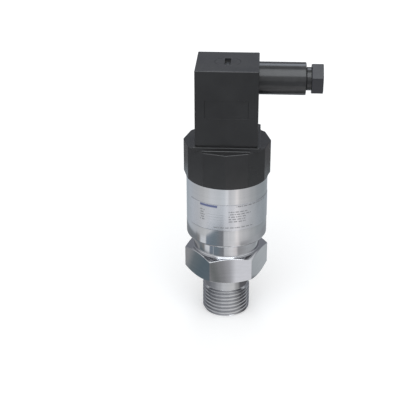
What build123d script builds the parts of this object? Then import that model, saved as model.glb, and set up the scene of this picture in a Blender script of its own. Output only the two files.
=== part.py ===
from build123d import *
import math
import os

# Pressure transmitter standing upright on the end of its process thread.
# Millimetres, +Z up along the body, +X towards the cable entry.
# The origin is the centre of the thread's end face.

# Running and assembly clearances
slip = 0.05
easy = 0.1
loose = 0.2

# Process connection, turned from one bar
thread_dia = 20.955
thread_length = 13.6
thread_chamfer = 1.2
neck_dia = 19.4
neck_length = 6.4
hex_flats = 32.0
hex_height = 13.0
hex_chamfer_dia = 30.4
hex_chamfer_angle = 30.0
hex_turn = 9.05
collar_dia = 29.0
collar_height = 6.2
spigot_height = 3.0
port_dia = 5.0

# Measuring cell in its chamber
cell_dia = 18.0
cell_thickness = 6.35
cell_rise = 0.3
cell_ring_dia = 14.0
cell_ring_section = 1.5
clamp_ring_dia = 22.0
clamp_ring_bore = 13.0
clamp_ring_height = 3.0
clamp_ring_sink = 0.5
clamp_slot_width = 2.0
clamp_slot_depth = 1.2

# Housing tube and the neck that the cap sits on
sleeve_dia = 35.0
sleeve_bore = 30.0
sleeve_height = 28.5
sleeve_edge_radius = 1.0
rim_dia = 33.0
rim_height = 10.3

# Name label, a thin foil bent round the tube
label_thickness = 0.1
label_height = 12.2
label_rise = 8.3
label_start = -147.0
label_sweep = 144.0

# Twelve-sided cap with its seal
cap_flats = 36.0
cap_sides = 12
cap_top_wall = 3.0
cap_bevel = 0.4
cap_ring_section = 1.6

# Connector base with blades, held under the cap by a ring nut
flange_margin = 1.05
flange_thickness = 1.6
flange_corner = 0.6
boss_depth = 8.0
boss_wall = 1.1
lock_nut_height = 3.0
lock_nut_gap = 1.0
lock_slot_width = 3.0
lock_slot_depth = 1.5
bush_dia = 5.0
bush_length = 7.0
blade_width = 6.3
blade_thickness = 0.8
blade_height = 12.5
blade_tip_bevel = 1.0
blade_root = 4.0
tail_width = 2.8
tail_end = 1.0
ground_lead = 1.0

# Circuit boards
board_thickness = 1.6
board_gap = 2.0
board_margin = 1.0
amplifier_width = 23.0
amplifier_height = 24.0
amplifier_front = 2.0
tab_width = 4.0
tab_spacing = 14.0
chip_size = 7.0
chip_height = 1.2
chip_drop = 11.0
driver_width = 6.5
driver_length = 4.4
driver_drop = 3.5
capacitor_size = (3.2, 1.6, 1.6)
capacitor_spacing = 4.2
capacitor_count = 4
capacitor_drop = 16.0
diode_size = (4.6, 2.6, 2.0)
diode_radius = 6.5
flex_width = 8.0
flex_thickness = 0.2
flex_foot = 5.0
flex_overlap = 4.0
flex_bend = 1.2

# Angled plug
plug_width = 26.0
plug_height = 32.1
plug_wall = 1.8
plug_edge = 0.35
plug_web = 1.0
contact_cover = 4.0
panel_width = 18.0
panel_height = 7.9
panel_depth = 0.3
panel_drop = 12.4
gasket_thickness = 0.5
gasket_edge = 0.2
gasket_lip = 1.2
gasket_clear = 0.3

# Terminals inside the plug
insert_base = 0.2
socket_base = 1.5
socket_width = 8.0
socket_thickness = 2.6
socket_cap = 1.0
clamp_length = 5.0
clamp_height = 3.2
wire_hole = 2.0
terminal_screw_dia = 2.5
terminal_head_dia = 4.2
terminal_head_height = 1.4
terminal_slot = 0.7

# Captive centre screw
knob_dia = 10.6
knob_height = 3.0
knob_slot_width = 2.6
knob_slot_depth = 1.2
screw_dia = 3.0
screw_grip = 5.7
tang_width = 5.6
tang_thickness = 1.0
screw_seal_dia = 8.0
screw_seal_height = 0.8
retainer_dia = 7.0
retainer_height = 0.7

# Cable gland on the plug's side
barrel_dia = 13.5
barrel_length = 19.2
barrel_drop = 0.05
barrel_bevel = 0.3
barrel_bore = 10.0
gland_neck_dia = 9.6
gland_bore = 7.4
gland_throat = 6.4
gland_stop = 2.6
gland_seal_bore = 5.2
gland_seal_length = 8.0
gland_tighten = 1.2
push_ring_length = 2.0
push_ring_bore = 5.6
nut_flats = 12.0
nut_length = 4.7
nut_gap = 2.3
nut_end_wall = 1.2
nut_mouth = 6.4
nut_turn = 10.5
nut_chamfer_dia = 12.6

# Heights of the joints between the pieces, from the thread's end face up
neck_z = thread_length
hex_z = neck_z + neck_length
collar_z = hex_z + hex_height
sleeve_z = collar_z + collar_height
spigot_top_z = sleeve_z + spigot_height
shoulder_z = sleeve_z + sleeve_height
rim_z = shoulder_z + rim_height
ceiling_z = rim_z + cap_ring_section
cap_top_z = ceiling_z + cap_top_wall
flange_top_z = cap_top_z + flange_thickness
plug_z = flange_top_z + gasket_thickness
plug_top_z = plug_z + plug_height

clamp_ring_z = spigot_top_z - clamp_ring_sink - clamp_ring_height
cell_z = clamp_ring_z - cell_thickness
chamber_z = cell_z - cell_rise
cell_top_z = clamp_ring_z

boss_z = cap_top_z - boss_depth
board_top_z = boss_z - board_gap
board_z = board_top_z - board_thickness
tail_z = board_z - tail_end
amplifier_z = board_z - amplifier_height

recess_z = plug_top_z - knob_height - screw_seal_height
cavity_top_z = recess_z - plug_web
knob_z = plug_top_z - knob_height
slot_floor_z = plug_top_z - knob_slot_depth
screw_tip_z = flange_top_z - screw_grip
barrel_z = plug_top_z - barrel_dia / 2 - barrel_drop

# Widths and places that follow from the sizes above
flange_width = plug_width + 2 * flange_margin
blade_radius = plug_width / 2 - contact_cover
boss_dia = 2 * math.hypot(blade_radius + blade_thickness / 2, blade_width / 2) + 2 * boss_wall
cavity_width = plug_width - 2 * plug_wall
insert_width = cavity_width - 2 * easy
blade_top_z = flange_top_z + blade_height
socket_z = plug_z + socket_base
socket_top_z = blade_top_z + ground_lead + socket_cap
socket_bar_z = socket_top_z + clamp_height
blade_angles = {"contact_blade_1": 180, "contact_blade_2": 0, "contact_blade_3": 90}
ground_angle = 270

wall_x = plug_width / 2
barrel_end_x = wall_x + barrel_length
nut_x = barrel_end_x + nut_gap
nut_end_x = nut_x + nut_length
nut_floor_x = nut_end_x - nut_end_wall
neck_end_x = nut_floor_x - gland_tighten - easy
push_ring_x = nut_floor_x - easy - push_ring_length
seal_end_x = push_ring_x - gland_tighten - easy
seal_x = seal_end_x - gland_seal_length

BOTTOM = (Align.CENTER, Align.CENTER, Align.MIN)


def turned(corners):
    """Solid turned about Z from a closed outline of (radius, height) corners."""
    outline = Polyline(*[(radius, 0, height) for radius, height in corners], close=True)
    return revolve(make_face(outline), Axis.Z)


def disc(dia, base, height):
    """Round disc or rod of one diameter, standing on the height base."""
    return Pos(0, 0, base) * Cylinder(dia / 2, height, align=BOTTOM)


def tube(outer_dia, inner_dia, base, height):
    """Round tube standing on the height base."""
    return disc(outer_dia, base, height) - disc(inner_dia, base, height)


def block(length, width, base, height, x=0.0, y=0.0):
    """Rectangular block standing on the height base, centred on x and y."""
    return Pos(x, y, base) * Box(length, width, height, align=BOTTOM)


def prism(sides, flats, base, height, turn=0.0):
    """Regular prism about Z, given across its flats, with a corner at the angle turn."""
    corner_radius = flats / 2 / math.cos(math.pi / sides)
    outline = RegularPolygon(corner_radius, sides, rotation=turn)
    return Pos(0, 0, base) * extrude(outline, height)


def chamfered_prism(sides, flats, base, height, chamfer_dia, angle, turn, both_ends):
    """Prism whose corners are turned down by a cone at its top, or at both of its ends."""
    reach = flats
    edge = chamfer_dia / 2
    drop = (reach - edge) * math.tan(math.radians(angle))
    top = base + height
    if both_ends:
        low = [(edge, base), (reach, base + drop)]
    else:
        low = [(reach, base)]
    cone = turned([(0, base)] + low + [(reach, top - drop), (edge, top), (0, top)])
    return prism(sides, flats, base, height, turn) & cone


def along_x(piece):
    """Lay a piece that was made about Z along X, on the axis of the cable entry."""
    return Pos(0, 0, barrel_z) * Rot(0, 90, 0) * piece


def process_connection():
    thread_radius = thread_dia / 2
    turned_body = turned([
        (0, 0),
        (thread_radius - thread_chamfer, 0),
        (thread_radius, thread_chamfer),
        (thread_radius, neck_z),
        (neck_dia / 2, neck_z),
        (neck_dia / 2, collar_z),
        (collar_dia / 2, collar_z),
        (collar_dia / 2, sleeve_z),
        (sleeve_bore / 2, sleeve_z),
        (sleeve_bore / 2, spigot_top_z),
        (0, spigot_top_z),
    ])
    hexagon = chamfered_prism(6, hex_flats, hex_z, hex_height, hex_chamfer_dia,
                              hex_chamfer_angle, hex_turn, True)
    groove_depth = cell_ring_section - cell_rise
    groove = tube(cell_ring_dia + cell_ring_section, cell_ring_dia - cell_ring_section,
                  chamber_z - groove_depth, groove_depth)
    chamber = disc(cell_dia + 2 * easy, chamber_z, spigot_top_z - chamber_z)
    ring_seat = disc(clamp_ring_dia + 2 * slip, clamp_ring_z, spigot_top_z - clamp_ring_z)
    port = disc(port_dia, 0, chamber_z)
    return turned_body + hexagon - port - chamber - ring_seat - groove


def sensor_o_ring():
    ring = Torus(cell_ring_dia / 2, cell_ring_section / 2)
    return Pos(0, 0, cell_z - cell_ring_section / 2) * ring


def sensor_cell():
    return disc(cell_dia, cell_z, cell_thickness)


def sensor_clamp_ring():
    ring = tube(clamp_ring_dia, clamp_ring_bore, clamp_ring_z, clamp_ring_height)
    slot_z = clamp_ring_z + clamp_ring_height - clamp_slot_depth
    slot = block(clamp_slot_width, clamp_ring_dia, slot_z, clamp_slot_depth)
    return ring - slot


def sensor_flex():
    """Bent strip from the back of the cell up the front of the amplifier board."""
    rise_y = amplifier_front - flex_thickness / 2
    foot_y = amplifier_front - flex_foot
    low_z = cell_top_z + flex_thickness / 2
    path = FilletPolyline((0, foot_y, low_z), (0, rise_y, low_z),
                          (0, rise_y, amplifier_z + flex_overlap), radius=flex_bend)
    start = Plane(origin=(0, foot_y, low_z), x_dir=(1, 0, 0), z_dir=(0, 1, 0))
    return sweep(start * Rectangle(flex_width, flex_thickness), path)


def housing_sleeve():
    outer = sleeve_dia / 2
    tube_body = turned([
        (sleeve_bore / 2, sleeve_z),
        (outer, sleeve_z),
        (outer, shoulder_z),
        (rim_dia / 2, shoulder_z),
        (rim_dia / 2, rim_z),
        (sleeve_bore / 2, rim_z),
    ])
    bottom_edges = tube_body.edges().filter_by(GeomType.CIRCLE).group_by(Axis.Z)[0]
    return fillet(bottom_edges.sort_by(SortBy.RADIUS)[-1], sleeve_edge_radius)


def name_label():
    inner = sleeve_dia / 2
    base = sleeve_z + label_rise
    corners = [(inner, base), (inner + label_thickness, base),
               (inner + label_thickness, base + label_height), (inner, base + label_height)]
    outline = Polyline(*[(radius, 0, height) for radius, height in corners], close=True)
    band = revolve(make_face(outline), Axis.Z, revolution_arc=label_sweep)
    return Rot(0, 0, label_start) * band


def housing_cap():
    height = cap_top_z - shoulder_z
    shell = prism(cap_sides, cap_flats, shoulder_z, height)
    shell = chamfer(shell.edges().group_by(Axis.Z)[-1], cap_bevel)
    hollow = disc(rim_dia + 2 * slip, shoulder_z, ceiling_z - shoulder_z)
    opening = disc(boss_dia + 2 * easy, ceiling_z, cap_top_wall)
    return shell - hollow - opening


def cap_o_ring():
    mean_radius = (rim_dia + sleeve_bore) / 4
    ring = Torus(mean_radius, cap_ring_section / 2)
    return Pos(0, 0, rim_z + cap_ring_section / 2) * ring


def contact_blade(lead):
    """Flat blade on the +X side with a narrow solder tail; lead lengthens its tip."""
    shoulder_height = cap_top_z - blade_root
    tip_z = blade_top_z + lead
    half = blade_width / 2
    tail = tail_width / 2
    right = [(tail, tail_z), (tail, shoulder_height), (half, shoulder_height),
             (half, tip_z - blade_tip_bevel), (half - blade_tip_bevel, tip_z)]
    left = [(-y, z) for y, z in reversed(right)]
    outline = Polyline(*[(blade_radius, y, z) for y, z in right + left], close=True)
    return extrude(make_face(outline), blade_thickness / 2, both=True)


def all_blades():
    blades = {name: Rot(0, 0, angle) * contact_blade(0.0) for name, angle in blade_angles.items()}
    blades["ground_blade"] = Rot(0, 0, ground_angle) * contact_blade(ground_lead)
    return blades


def connector_base(blades):
    flange = block(flange_width, flange_width, cap_top_z, flange_thickness)
    flange = fillet(flange.edges().filter_by(Axis.Z), flange_corner)
    boss = disc(boss_dia, boss_z, boss_depth)
    base = flange + boss - disc(bush_dia, flange_top_z - bush_length, bush_length)
    for blade in blades.values():
        base -= blade
    return base


def base_thread_bush():
    return tube(bush_dia, screw_dia + 2 * slip, flange_top_z - bush_length, bush_length)


def base_lock_nut():
    outer = sleeve_bore - 2 * lock_nut_gap
    base = ceiling_z - lock_nut_height
    ring = tube(outer, boss_dia + 2 * slip, base, lock_nut_height)
    for angle in (0, 90):
        ring -= Rot(0, 0, angle) * block(outer, lock_slot_width, base, lock_slot_depth)
    return ring


def connection_board():
    board = disc(sleeve_bore - 2 * board_margin, board_z, board_thickness)
    slot = block(blade_thickness + 2 * easy, tail_width + 2 * easy, board_z,
                 board_thickness, x=blade_radius)
    for angle in list(blade_angles.values()) + [ground_angle]:
        board -= Rot(0, 0, angle) * slot
    middle_y = amplifier_front + board_thickness / 2
    for side in (-1, 1):
        board -= block(tab_width, board_thickness, board_z, board_thickness,
                       x=side * tab_spacing / 2, y=middle_y)
    return board


def amplifier_board():
    middle_y = amplifier_front + board_thickness / 2
    board = block(amplifier_width, board_thickness, amplifier_z, amplifier_height, y=middle_y)
    for side in (-1, 1):
        board += block(tab_width, board_thickness, board_z, board_thickness,
                       x=side * tab_spacing / 2, y=middle_y)
    return board


def measuring_chip():
    return block(chip_size, chip_height, board_z - chip_drop - chip_size / 2, chip_size,
                 y=amplifier_front - chip_height / 2)


def output_driver():
    return block(driver_width, chip_height, board_z - driver_drop - driver_length / 2,
                 driver_length, y=amplifier_front - chip_height / 2)


def capacitors():
    length, depth, height = capacitor_size
    first_x = -capacitor_spacing * (capacitor_count - 1) / 2
    back_y = amplifier_front + board_thickness
    base = board_z - capacitor_drop
    pieces = []
    for index in range(capacitor_count):
        pieces.append(block(length, depth, base, height, x=first_x + index * capacitor_spacing,
                            y=back_y + depth / 2))
    return Compound(children=pieces)


def suppressor_diodes():
    length, width, height = diode_size
    diode = block(length, width, board_top_z, height, x=diode_radius)
    return Compound(children=[Rot(0, 0, angle) * diode for angle in (225, 315)])


def plug_housing():
    shell = block(plug_width, plug_width, plug_z, plug_height)
    top_edges = shell.edges().group_by(Axis.Z)[-1]
    shell = fillet(top_edges + shell.edges().filter_by(Axis.Z), plug_edge)
    barrel = along_x(disc(barrel_dia, 0, barrel_end_x))
    barrel = chamfer(barrel.edges().group_by(Axis.X)[-1], barrel_bevel)
    neck = along_x(disc(gland_neck_dia, 0, neck_end_x))
    cavity = block(cavity_width, cavity_width, plug_z, cavity_top_z - plug_z)
    inner_x = cavity_width / 2 - plug_wall
    entry = along_x(disc(barrel_bore, inner_x, seal_x - gland_stop - inner_x))
    throat = along_x(disc(gland_throat, inner_x, seal_x - inner_x))
    seal_seat = along_x(disc(gland_bore, seal_x, neck_end_x - seal_x))
    recess = disc(knob_dia + 2 * easy, recess_z, plug_top_z - recess_z)
    screw_hole = disc(screw_dia + 2 * easy, cavity_top_z, plug_web)
    panel = block(panel_width, 2 * panel_depth, plug_top_z - panel_drop - panel_height,
                  panel_height, y=-plug_width / 2)
    body = shell + barrel + neck
    return body - cavity - entry - throat - seal_seat - recess - screw_hole - panel


def profile_gasket():
    """Flat square ring under the plug's rim with a lip that stands up inside it."""
    outer = plug_width - 2 * gasket_edge
    inner = 2 * blade_radius + blade_thickness + 2 * gasket_clear
    lip = cavity_width - 2 * slip
    ring = block(outer, outer, flange_top_z, gasket_thickness)
    ring += block(lip, lip, flange_top_z, gasket_thickness + gasket_lip)
    return ring - block(inner, inner, flange_top_z, gasket_thickness + gasket_lip)


def terminal_shell():
    """Contact on the +X side: a socket for the blade, with a wire clamp on top."""
    outer_x = blade_radius + socket_thickness / 2
    shell = block(socket_thickness, socket_width, socket_z, socket_top_z - socket_z,
                  x=blade_radius)
    clamp_x = outer_x - clamp_length / 2
    shell += block(clamp_length, socket_width, socket_top_z, clamp_height, x=clamp_x)
    slot = block(blade_thickness + 2 * easy, blade_width + 2 * easy, socket_z,
                 socket_top_z - socket_cap + easy - socket_z, x=blade_radius)
    screw_hole = Pos(clamp_x, 0, 0) * disc(terminal_screw_dia + 2 * slip,
                                           socket_top_z + clamp_height / 2, clamp_height / 2)
    wire_way = Pos(clamp_x, 0, socket_top_z + clamp_height / 2 - wire_hole / 2)
    wire_way = wire_way * Rot(0, 90, 0) * Cylinder(wire_hole / 2, clamp_length)
    return shell - slot - screw_hole - wire_way


def terminal_screw():
    """Slotted clamp screw of the contact on the +X side."""
    outer_x = blade_radius + socket_thickness / 2
    shank_length = clamp_height / 2 - slip
    shank = disc(terminal_screw_dia, socket_bar_z - shank_length, shank_length)
    head = disc(terminal_head_dia, socket_bar_z, terminal_head_height)
    slot_z = socket_bar_z + terminal_head_height / 2
    slot = block(terminal_slot, terminal_head_dia, slot_z, terminal_head_height / 2)
    return Pos(outer_x - clamp_length / 2, 0, 0) * (shank + head - slot)


def terminal_insert():
    """Moulded carrier that holds the contacts in the plug's cavity."""
    base = plug_z + insert_base + gasket_lip
    body = block(insert_width, insert_width, base, socket_top_z - base)
    opening = block(blade_thickness + 2 * loose, blade_width + 2 * loose, plug_z,
                    socket_z + loose - plug_z, x=blade_radius)
    pocket = block(socket_thickness, socket_width, socket_z, socket_top_z - socket_z,
                   x=blade_radius)
    for angle in (0, 90, 180, 270):
        body -= Rot(0, 0, angle) * opening
        body -= Rot(0, 0, angle) * pocket
    return body - disc(screw_dia + 2 * loose, base, socket_top_z - base)


def centre_screw():
    """Long screw whose flat tang is moulded into the knob."""
    shank = disc(screw_dia, screw_tip_z, knob_z - screw_tip_z)
    tang = block(tang_thickness, tang_width, knob_z, slot_floor_z - knob_z)
    return shank + tang


def screw_knob():
    knob = disc(knob_dia, knob_z, knob_height)
    slot = block(knob_slot_width, knob_dia, slot_floor_z, knob_slot_depth)
    tang = block(tang_thickness, tang_width, knob_z, slot_floor_z - knob_z)
    return knob - slot - tang


def screw_seal():
    return tube(screw_seal_dia, screw_dia + 2 * slip, recess_z, screw_seal_height - slip)


def screw_retainer():
    return tube(retainer_dia, screw_dia, cavity_top_z - easy - retainer_height, retainer_height)


def gland_seal():
    ring = tube(gland_bore - 2 * slip, gland_seal_bore, seal_x, gland_seal_length)
    return along_x(ring)


def gland_push_ring():
    ring = tube(gland_bore - 2 * easy, push_ring_bore, push_ring_x, push_ring_length)
    return along_x(ring)


def gland_nut():
    nut = chamfered_prism(6, nut_flats, nut_x, nut_length, nut_chamfer_dia,
                          hex_chamfer_angle, nut_turn, False)
    thread = disc(gland_neck_dia + 2 * slip, nut_x, nut_floor_x - nut_x)
    mouth = disc(nut_mouth, nut_floor_x, nut_end_wall)
    return along_x(nut - thread - mouth)


def build():
    blades = all_blades()
    parts = {
        "process_connection": process_connection(),
        "sensor_o_ring": sensor_o_ring(),
        "sensor_cell": sensor_cell(),
        "sensor_clamp_ring": sensor_clamp_ring(),
        "sensor_flex": sensor_flex(),
        "housing_sleeve": housing_sleeve(),
        "name_label": name_label(),
        "housing_cap": housing_cap(),
        "cap_o_ring": cap_o_ring(),
        "connector_base": connector_base(blades),
        "base_thread_bush": base_thread_bush(),
        "base_lock_nut": base_lock_nut(),
        "connection_board": connection_board(),
        "amplifier_board": amplifier_board(),
        "measuring_chip": measuring_chip(),
        "output_driver": output_driver(),
        "capacitors": capacitors(),
        "suppressor_diodes": suppressor_diodes(),
        "plug_housing": plug_housing(),
        "profile_gasket": profile_gasket(),
        "terminal_insert": terminal_insert(),
        "centre_screw": centre_screw(),
        "screw_knob": screw_knob(),
        "screw_seal": screw_seal(),
        "screw_retainer": screw_retainer(),
        "gland_seal": gland_seal(),
        "gland_push_ring": gland_push_ring(),
        "gland_nut": gland_nut(),
    }
    parts.update(blades)
    terminal = terminal_shell()
    for number, angle in enumerate(list(blade_angles.values()) + [ground_angle], start=1):
        parts[f"terminal_{number}"] = Rot(0, 0, angle) * terminal
    screw = terminal_screw()
    screws = [Rot(0, 0, angle) * screw for angle in (0, 90, 180, 270)]
    parts["terminal_screws"] = Compound(children=screws)
    return parts


os.makedirs("parts", exist_ok=True)
for node, shape in build().items():
    export_step(shape, f"parts/{node}.step")
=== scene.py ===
"""Pressure transmitter: surfaces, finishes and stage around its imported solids."""
import functools
import math

import bpy
import numpy as np
from bpy.props import FloatProperty, FloatVectorProperty, PointerProperty
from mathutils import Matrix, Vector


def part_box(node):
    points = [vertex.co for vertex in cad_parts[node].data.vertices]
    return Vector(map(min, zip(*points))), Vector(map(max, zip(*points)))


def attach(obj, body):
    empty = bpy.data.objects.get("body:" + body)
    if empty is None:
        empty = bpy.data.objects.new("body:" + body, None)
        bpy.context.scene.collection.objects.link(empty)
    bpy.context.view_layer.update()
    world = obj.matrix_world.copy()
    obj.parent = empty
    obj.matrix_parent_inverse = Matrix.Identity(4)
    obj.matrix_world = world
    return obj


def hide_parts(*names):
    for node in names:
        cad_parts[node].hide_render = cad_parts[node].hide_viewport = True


bl_info = {
    "name": "Pressure transmitter",
    "version": (1, 0, 0),
    "blender": (4, 5, 0),
    "location": "3D View > Sidebar > Transmitter",
    "description": "Surfaces, finishes and stage of a pressure transmitter with an angled plug",
    "category": "Add Mesh",
}

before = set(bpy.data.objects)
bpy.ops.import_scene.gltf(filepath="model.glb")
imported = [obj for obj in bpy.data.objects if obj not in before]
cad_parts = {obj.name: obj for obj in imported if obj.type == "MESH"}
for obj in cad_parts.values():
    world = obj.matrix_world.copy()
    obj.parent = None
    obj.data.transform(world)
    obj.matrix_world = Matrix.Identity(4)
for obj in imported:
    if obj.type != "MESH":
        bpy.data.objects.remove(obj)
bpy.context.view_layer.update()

MM = 0.001
X, Y, Z = 0, 1, 2
FULL_TURN = 2 * math.pi
SQUARE_TURN = math.radians(45.0)
WHITE = (1.0, 1.0, 1.0, 1.0)


def low(node, axis):
    """Lowest coordinate of a solid along one axis, in millimetres."""
    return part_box(node)[0][axis] / MM


def high(node, axis):
    """Highest coordinate of a solid along one axis, in millimetres."""
    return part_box(node)[1][axis] / MM


# Places that several pieces share, in millimetres. Heights are above the thread's end face.
# The gland's axis lies along X at GLAND_Z, and the barrel's shoulder is at BARREL_END on it.
GLAND_Z = (low("gland_seal", Z) + high("gland_seal", Z)) / 2
BARREL_END = 32.2
SPIGOT_RADIUS = 15.0
SPIGOT_TOP = high("process_connection", Z)
TUBE_RADIUS = high("housing_sleeve", X)
TUBE_STEP = 1.0
BLADE_PLACE = 9.0
BLADE_HALF = (0.40, 3.15)
BOSS_RADIUS = math.hypot(BLADE_PLACE + BLADE_HALF[0], BLADE_HALF[1]) + 1.1
CAVITY_WIDTH = 22.4
TANG_HALF = (0.5, 2.8)


# Profiles and surfaces, all in millimetres until they become a mesh

def smooth(value):
    """Eases 0..1 in and out: three squares less two cubes."""
    value = np.clip(value, 0.0, 1.0)
    return value * value * (3 - 2 * value)


def unit(vectors):
    """Vectors scaled to length one; a zero vector stays near zero."""
    length = np.linalg.norm(vectors, axis=-1, keepdims=True)
    return vectors / np.maximum(length, 1e-9)


def column(radius, height, columns):
    """One outline corner for every direction around the axis, as (radius, height) pairs."""
    pair = np.empty((columns, 2))
    pair[:, 0] = radius
    pair[:, 1] = height
    return pair


def soften(corners, radii, arc_steps=3):
    """Closed outline in which each corner becomes an arc.

    The arc touches both sides of its corner. Its centre lies on the line that halves the corner,
    at the radius divided by the sine of half the corner's angle. The radius shrinks where a side
    is too short for it. Corners hold one pair for every direction around the axis, so whole rings
    of outlines are worked out at once. The second result is 1 inside the arcs and 0 elsewhere.
    """
    rows, worn = [], []
    count = len(corners)
    for index, radius in enumerate(radii):
        here = corners[index]
        if radius <= 0:
            rows.append(here[None])
            worn.append(np.zeros(1))
            continue
        before = corners[index - 1] - here
        after = corners[(index + 1) % count] - here
        shorter = np.minimum(np.linalg.norm(before, axis=-1), np.linalg.norm(after, axis=-1))
        before, after = unit(before), unit(after)
        half = np.arccos(np.clip((before * after).sum(-1), -0.9999, 0.9999)) / 2
        fitted = np.minimum(radius, 0.45 * shorter * np.tan(half))
        centre = here + unit(before + after) * (fitted / np.sin(half))[:, None]
        first = here + before * (fitted / np.tan(half))[:, None] - centre
        last = here + after * (fitted / np.tan(half))[:, None] - centre
        sweep = math.pi - 2 * half
        for step in np.linspace(0, 1, arc_steps + 1):
            share = (np.sin((1 - step) * sweep) / np.sin(sweep))[:, None] * first
            rows.append((centre + share + (np.sin(step * sweep) / np.sin(sweep))[:, None] * last)[None])
        worn.append(np.concatenate([[0.0], np.ones(arc_steps - 1), [0.0]]))
    return np.concatenate(rows), np.concatenate(worn)


def turned_outline(corners, columns, arc_steps=3):
    """Rows and wear of an outline around the axis, from its (radius, height, rounding) corners.

    A radius or height is one number, or one number for every direction.
    """
    outline = np.stack([column(radius, height, columns) for radius, height, _ in corners])
    return soften(outline, [rounding for _, _, rounding in corners], arc_steps)


def divide(rows, worn, at_row, heights):
    """Puts straight rows between row at_row and the next one, at the given heights."""
    start, end = rows[at_row], rows[at_row + 1]
    share = (heights[:, None] - start[None, :, 1]) / (end[None, :, 1] - start[None, :, 1])
    extra = start[None] + share[..., None] * (end - start)[None]
    rows = np.concatenate([rows[:at_row + 1], extra, rows[at_row + 1:]])
    worn = np.concatenate([worn[:at_row + 1], np.zeros(len(heights)), worn[at_row + 1:]])
    return rows, worn


def round_columns(count):
    """Directions evenly spread around the axis."""
    return np.arange(count) * FULL_TURN / count


def corner_limit(sides, flats, corner):
    """Angle from a prism's corner, seen from the axis, at which its rounding meets the flat."""
    half_sector = math.pi / sides
    centre = (flats / 2 - corner) / math.cos(half_sector)
    return math.atan2(corner * math.sin(half_sector), centre + corner * math.cos(half_sector))


def prism_columns(sides, flats, corner, turn, arc_steps, flat_steps):
    """Directions around a prism: close together on its rounded corners and even on its flats."""
    sector = FULL_TURN / sides
    limit = corner_limit(sides, flats, corner)
    on_arc = np.linspace(-limit, limit, arc_steps + 1)
    on_flat = np.linspace(limit, sector - limit, flat_steps + 1)[1:-1]
    one = np.concatenate([on_arc, on_flat])
    return (turn + (np.arange(sides) * sector)[:, None] + one[None]).ravel()


def prism_reach(angles, sides, flats, corner, turn):
    """Distance from the axis to a regular prism with rounded corners, in each direction.

    Over a flat it is half the width over the flats, divided by the cosine of the angle from the
    middle of the flat. Over a corner it is where the ray leaves a circle of the corner's radius
    whose centre lies on the ray to that corner.
    """
    sector = FULL_TURN / sides
    half_sector = sector / 2
    off_corner = np.abs((angles - turn + half_sector) % sector - half_sector)
    flat = flats / 2 / np.cos(half_sector - off_corner)
    centre = (flats / 2 - corner) / math.cos(half_sector)
    inside = np.maximum(corner ** 2 - (centre * np.sin(off_corner)) ** 2, 0)
    arc = centre * np.cos(off_corner) + np.sqrt(inside)
    return np.where(off_corner < corner_limit(sides, flats, corner), arc, flat)


def prism(sides, flats, corner, turn, arc_steps, flat_steps):
    """Directions around a prism, and its distance from the axis in each."""
    angles = prism_columns(sides, flats, corner, turn, arc_steps, flat_steps)
    return angles, prism_reach(angles, sides, flats, corner, turn)


# Shape of a screw thread's tooth: how steep its flanks are, and how wide its flat crest is.
FLANK_SLOPE = 1.5
CREST_SHARE = 0.25

# Places in one tooth where its rows of points run, from root over crest to root.
TOOTH_PLACES = np.array([0.0, 0.07, 0.13, 0.20, 0.27, 0.34, 0.40, 0.45,
                         0.50, 0.55, 0.60, 0.66, 0.73, 0.80, 0.87, 0.93])


def thread_reach(angles, heights, radius, pitch, depth, start, end, fade):
    """Radius of a screw thread at each direction and height.

    The place in the thread's tooth is the height over the pitch less the direction over a full
    turn. The tooth is a triangle wave whose crest and root are cut flat and eased. It fades to
    its crest over the fade length at each end.
    """
    place = (heights / pitch - angles / FULL_TURN) % 1.0
    groove = smooth(np.abs(2 * place - 1) * FLANK_SLOPE - CREST_SHARE)
    inside = smooth((heights - start) / fade) * smooth((end - heights) / fade)
    return radius - depth * groove * inside


def wound_heights(angles, pitch, start, end):
    """Heights of rows that climb a pitch a turn, so that each keeps its place in the tooth.

    They are held between start and end, where the rows that haven't begun or have ended lie on
    one another. A turn on, each row meets the row one tooth above it.
    """
    lowest = math.floor(start / pitch - angles[-1] / FULL_TURN) - 1
    highest = math.ceil(end / pitch - angles[0] / FULL_TURN) + 1
    places = (np.arange(lowest, highest)[:, None] + TOOTH_PLACES).ravel()
    return np.clip(pitch * (places[:, None] + angles / FULL_TURN), start, end)


def level_thread(angles, levels, *thread, nose):
    """Outline rows of a thread on level rows, held inside the nose's radius at each level."""
    helix = np.minimum(thread_reach(angles, levels[:, None], *thread), nose[:, None])
    return np.stack([helix, np.broadcast_to(levels[:, None], helix.shape)], axis=-1)


def swept(rows, angles):
    """Turns outline rows of (radius, height) about Z, each column in its own direction."""
    radius, height = rows[..., 0], rows[..., 1]
    return np.stack([radius * np.cos(angles), radius * np.sin(angles), height], axis=-1)


def laid_along_x(points):
    """Moves a shape made about Z onto the gland's axis: its Z becomes X, and its X points down."""
    return np.stack([points[..., Z], points[..., Y], GLAND_Z - points[..., X]], axis=-1)


def turned_about_z(points, degrees):
    """Turns points about Z by an angle in degrees."""
    cosine, sine = math.cos(math.radians(degrees)), math.sin(math.radians(degrees))
    x, y = points[..., X], points[..., Y]
    return np.stack([x * cosine - y * sine, x * sine + y * cosine, points[..., Z]], axis=-1)


def quads_volume(verts, quads):
    """Six times the volume between the origin and four-sided faces, below zero if they face in."""
    a, b, c, d = (verts[quads[:, corner]] for corner in range(4))
    return (np.cross(a, b) * c).sum() + (np.cross(a, c) * d).sum()


def facing_out(faces, volume):
    """The faces, turned round where they enclose a negative volume."""
    return [face[::-1] for face in faces] if volume < 0 else faces


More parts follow.
